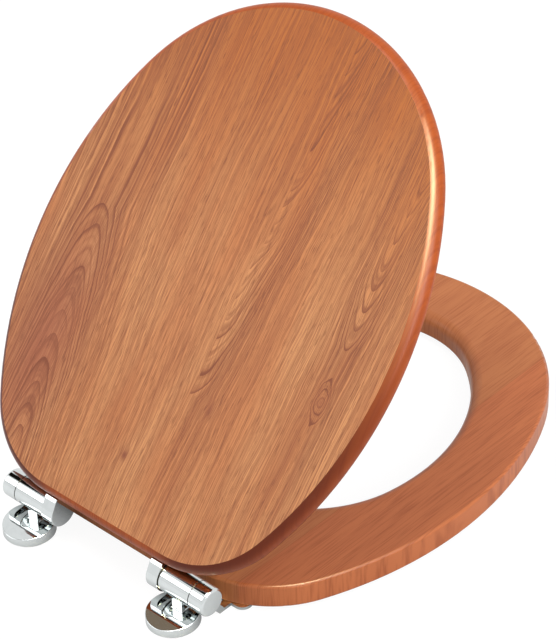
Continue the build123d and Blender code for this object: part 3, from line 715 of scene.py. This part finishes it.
def screw_heads(nodes, flat):
    """Head centres of the CAD screws on a board laid flat, with the length and head radius of a screw."""
    corners = [flat @ corner.co for name in nodes for corner in frame["nodes"][name].data.vertices]
    top = max(corner.z for corner in corners)
    length = top - min(corner.z for corner in corners)
    tips = {(round(c.x, TIP_DIGITS), round(c.y, TIP_DIGITS)) for c in corners if c.z > top - TIP_SLACK}
    radius = max(min(math.dist(tip, corner.xy) for tip in tips) for corner in corners)
    return [(x, y, top - length) for x, y in sorted(tips)], length, radius


print("tips found within, mm:", TIP_SLACK / MM)

# %% [markdown]
# The tree runs on the points of one board, the result becomes a plain mesh, and the mesh is turned back to
# where the board stands. Each board gets one mesh, which rides on it and stands for its CAD screws.

# %% Screws for the lid and the ring
SCREW_SIZES = {"Core Radius": 1.45, "Tip": 3.0, "Pitch": 1.5, "Thread Height": 0.45, "Recess Length": 4.2,
               "Recess Width": 0.9, "Recess Depth": 1.2}
TURN_SEED = 7
SCREW_SETS = {"lid": shut_lid, "ring": Matrix.Translation(-hinge_axis)}


def screw_set(body, flat):
    """One mesh with all the screws of a board; flat is the turn that lays the board flat."""
    nodes = [f"{body}_screws_{side}" for side in ("left", "right")]
    heads, length, radius = screw_heads(nodes, flat)
    mesh = bpy.data.meshes.new(f"{body}_wood_screws")
    mesh.from_pydata(heads, [], [])
    screws = bpy.data.objects.new(mesh.name, mesh)
    bpy.context.collection.objects.link(screws)
    modifier = screws.modifiers.new("wood screws", "NODES")
    modifier.node_group = screw_tree
    given_sizes = {label: size * MM for label, size in SCREW_SIZES.items()}
    given_sizes.update({"Head Radius": radius, "Length": length})
    given_sizes.update({"Turn Seed": TURN_SEED, "Finish": finishes["zinc_steel"]})
    for socket in screw_tree.interface.items_tree:
        if socket.in_out == "INPUT" and socket.name in given_sizes:
            modifier[socket.identifier] = given_sizes[socket.name]
    evaluated = screws.evaluated_get(bpy.context.evaluated_depsgraph_get())
    screws.data = bpy.data.meshes.new_from_object(evaluated)
    screws.modifiers.remove(modifier)
    screws.data.transform(flat.inverted())
    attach(screws, body)
    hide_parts(*nodes)
    print(screws.name, len(heads), "screws,", len(screws.data.polygons), "faces")


for body, flat in SCREW_SETS.items():
    screw_set(body, flat)

# %% [markdown]
# ## Studio
#
# A product photograph like this one stands in a white room. The world and the floor are white to the camera
# and to reflections. As lights they are weaker, so that the lamps shape the boards and colours show about
# as written. A Light Path node tells the two uses apart.

# %% What the camera sees


def seen_directly(tree):
    """1 for rays from the camera, and for those that a shiny or clear surface sends on."""
    path = add_node(tree, "ShaderNodeLightPath").outputs
    shiny = add_node(tree, "ShaderNodeMath", {0: path["Is Camera Ray"], 1: path["Is Glossy Ray"]},
                     operation="MAXIMUM").outputs[0]
    return add_node(tree, "ShaderNodeMath", {0: shiny, 1: path["Is Transmission Ray"]},
                    operation="MAXIMUM").outputs[0]


def flat_card(name, corners, material):
    """A flat sheet that belongs to the studio."""
    mesh = bpy.data.meshes.new(name)
    mesh.from_pydata(corners, [], [tuple(range(len(corners)))])
    mesh.materials.append(material)
    card = bpy.data.objects.new(name, mesh)
    bpy.context.collection.objects.link(card)
    return card


print("studio helpers ready")

# %% [markdown]
# The floor is a matt sheet that takes the seat's shadow, lifted to white by a glow of its own. The glow is
# weaker as a light on the seat. In reflections and as a light it fades close to the seat, where a real
# floor would lie in shade, so the chrome shows a soft dark foot.

# %% Floor
FLOOR_PAPER = "#585858"
FLOOR_HALF = 6.0
FLOOR_DROP = 0.2 * MM
FLOOR_LIFT = 0.93
FLOOR_BOUNCE = 0.55
SHADE_REACH = 0.06
SHADE_SAMPLES = 8
floor_paper, tree = new_material("matt white paper")
paper = add_node(tree, "ShaderNodeBsdfDiffuse", {"Color": paint(FLOOR_PAPER)}).outputs[0]
lift = add_node(tree, "ShaderNodeMix", {0: seen_directly(tree), 2: FLOOR_BOUNCE, 3: FLOOR_LIFT}).outputs[0]
open_sky = add_node(tree, "ShaderNodeAmbientOcclusion", {"Distance": SHADE_REACH},
                    samples=SHADE_SAMPLES).outputs["AO"]
straight = add_node(tree, "ShaderNodeLightPath").outputs["Is Camera Ray"]
unshaded = add_node(tree, "ShaderNodeMath", {0: straight, 1: open_sky}, operation="MAXIMUM").outputs[0]
lift = add_node(tree, "ShaderNodeMath", {0: lift, 1: unshaded}, operation="MULTIPLY").outputs[0]
glow = add_node(tree, "ShaderNodeEmission", {"Strength": lift}).outputs[0]
lifted = add_node(tree, "ShaderNodeAddShader", {0: paper, 1: glow}).outputs[0]
add_node(tree, "ShaderNodeOutputMaterial", {"Surface": lifted})
floor_level = cad_low.z - FLOOR_DROP
square = ((-1, -1), (1, -1), (1, 1), (-1, 1))
flat_card("floor", [(x * FLOOR_HALF, y * FLOOR_HALF, floor_level) for x, y in square], floor_paper)
print("floor at, mm:", round(floor_level / MM, 2))

# %% [markdown]
# The world is white wherever it is seen. Its light is strongest from overhead and weak from the horizon, as
# in a room with a pale ceiling, so that the undersides and the walls of the boards stay darker than their
# tops.

# %% World
HORIZON_LIGHT = 0.17
ZENITH_LIGHT = 0.93
SEEN_LIGHT = 1.0
world = bpy.data.worlds.new("white room")
world.use_nodes = True
world.node_tree.nodes.clear()
room = world.node_tree
direction = add_node(room, "ShaderNodeTexCoord").outputs["Generated"]
upward = add_node(room, "ShaderNodeSeparateXYZ", {0: direction}).outputs["Z"]
light = add_node(room, "ShaderNodeMapRange", {
    "Value": upward, "To Min": HORIZON_LIGHT, "To Max": ZENITH_LIGHT}).outputs["Result"]
strength = add_node(room, "ShaderNodeMix", {0: seen_directly(room), 2: light, 3: SEEN_LIGHT}).outputs[0]
sky = add_node(room, "ShaderNodeBackground", {"Color": paint("#FFFFFF"), "Strength": strength}).outputs[0]
add_node(room, "ShaderNodeOutputWorld", {"Surface": sky})
bpy.context.scene.world = world
print("world light from", HORIZON_LIGHT, "to", ZENITH_LIGHT)

# %% [markdown]
# Chrome in a white room would look like white plaster. Photographers hang black flags where the metal
# should show a dark band. One flag hangs above the far side of the seat, a brown card beside it darkens the
# back of the near disc, and a narrow bar behind draws the thin line along the barrels. Only reflections see
# them. Each is given by its reach along x, y and z, in metres.

# %% Black flags
FLAGS = {
    "overhead flag": {"tone": "#15120F", "x": (0.35, 1.5), "y": (-0.36, 0.34), "z": (1.25, 1.25)},
    "brown card": {"tone": "#8C7B69", "x": (0.5, 0.94), "y": (-0.56, -0.37), "z": (1.25, 1.25)},
    "rear bar": {"tone": "#15120F", "x": (0.4, 1.7), "y": (1.5, 1.5), "z": (0.66, 0.76)},
}
# Each flag glows evenly in its tone, and no lamp lights it: what the chrome shows of it is a painted
# reflection.
for name, flag in FLAGS.items():
    flag_glow, tree = new_material(name)
    tone = add_node(tree, "ShaderNodeEmission", {"Color": paint(flag["tone"])}).outputs[0]
    add_node(tree, "ShaderNodeOutputMaterial", {"Surface": tone})
    low, high = zip(flag["x"], flag["y"], flag["z"])
    corners = [low, (high[0], *low[1:]), high, (low[0], *high[1:])]
    card = flat_card(name.replace(" ", "_"), corners, flag_glow)
    card.visible_camera = False
    card.visible_diffuse = False
    card.visible_shadow = False
print("flags:", list(FLAGS))

# %% [markdown]
# Three softboxes light the seat: one overhead, one at the side for the ring's wall, and one behind, which
# also shows as a white stripe on the barrels of the hinges. A warm panel is there for its reflection alone:
# it draws the bright strip along the lid's edge. All of them face the middle of the seat.

# %% Softboxes
SOFTBOXES = {
    "main softbox": {"place": (0.45, 0.12, 1.85), "size": (0.8, 0.8), "power": 13.5, "tint": "#FFFFFF"},
    "side softbox": {"place": (-1.6, -0.2, 1.0), "size": (1.0, 0.8), "power": 28.0, "tint": "#FFFFFF"},
    "edge panel": {"place": (-0.8, 0.17, 1.87), "size": (0.95, 0.95), "power": 250.0, "tint": "#FFF0C0"},
    "rear softbox": {"place": (1.3, 1.25, 1.2), "size": (1.5, 1.0), "power": 11.0, "tint": "#FFFFFF"},
}
ONLY_REFLECTED = ("edge panel",)
seat_centre = (cad_low + cad_high) / 2
for name, box in SOFTBOXES.items():
    lamp = bpy.data.lights.new(name, "AREA")
    lamp.shape = "RECTANGLE"
    lamp.energy = box["power"]
    lamp.color = paint(box["tint"])[:3]
    lamp.size, lamp.size_y = box["size"]
    softbox = bpy.data.objects.new(name, lamp)
    softbox.location = box["place"]
    softbox.rotation_mode = "QUATERNION"
    softbox.rotation_quaternion = (seat_centre - softbox.location).to_track_quat("-Z", "Y")
    softbox.visible_diffuse = name not in ONLY_REFLECTED
    bpy.context.collection.objects.link(softbox)
print("softboxes:", list(SOFTBOXES))

# %% [markdown]
# ## Camera
#
# The photographer stood behind the seat, on its -X side, with a long lens and a slight tilt of the
# camera. Place, aim, roll and focal length were measured against the outlines in the picture.

# %% Camera
CAMERA_PLACE_MM = Vector((-1181.1, 1018.1, 1370.3))
CAMERA_AIM_MM = Vector((-60.1, -140.9, 187.3))
CAMERA_ROLL = math.radians(-2.2)
LENS_MM = 154.0
SENSOR_MM = 36.0
CLIP_END = 50.0
lens = bpy.data.cameras.new("photo camera")
lens.lens = LENS_MM
lens.sensor_width = SENSOR_MM
lens.clip_end = CLIP_END
camera = bpy.data.objects.new("photo camera", lens)
camera.location = CAMERA_PLACE_MM * MM
camera.rotation_mode = "QUATERNION"
sight = (CAMERA_AIM_MM - CAMERA_PLACE_MM).to_track_quat("-Z", "Y")
camera.rotation_quaternion = sight @ Quaternion((0, 0, 1), CAMERA_ROLL)
bpy.context.collection.objects.link(camera)
bpy.context.scene.camera = camera
bpy.context.scene.view_settings.view_transform = "Standard"
print("camera distance, mm:", round((CAMERA_AIM_MM - CAMERA_PLACE_MM).length))
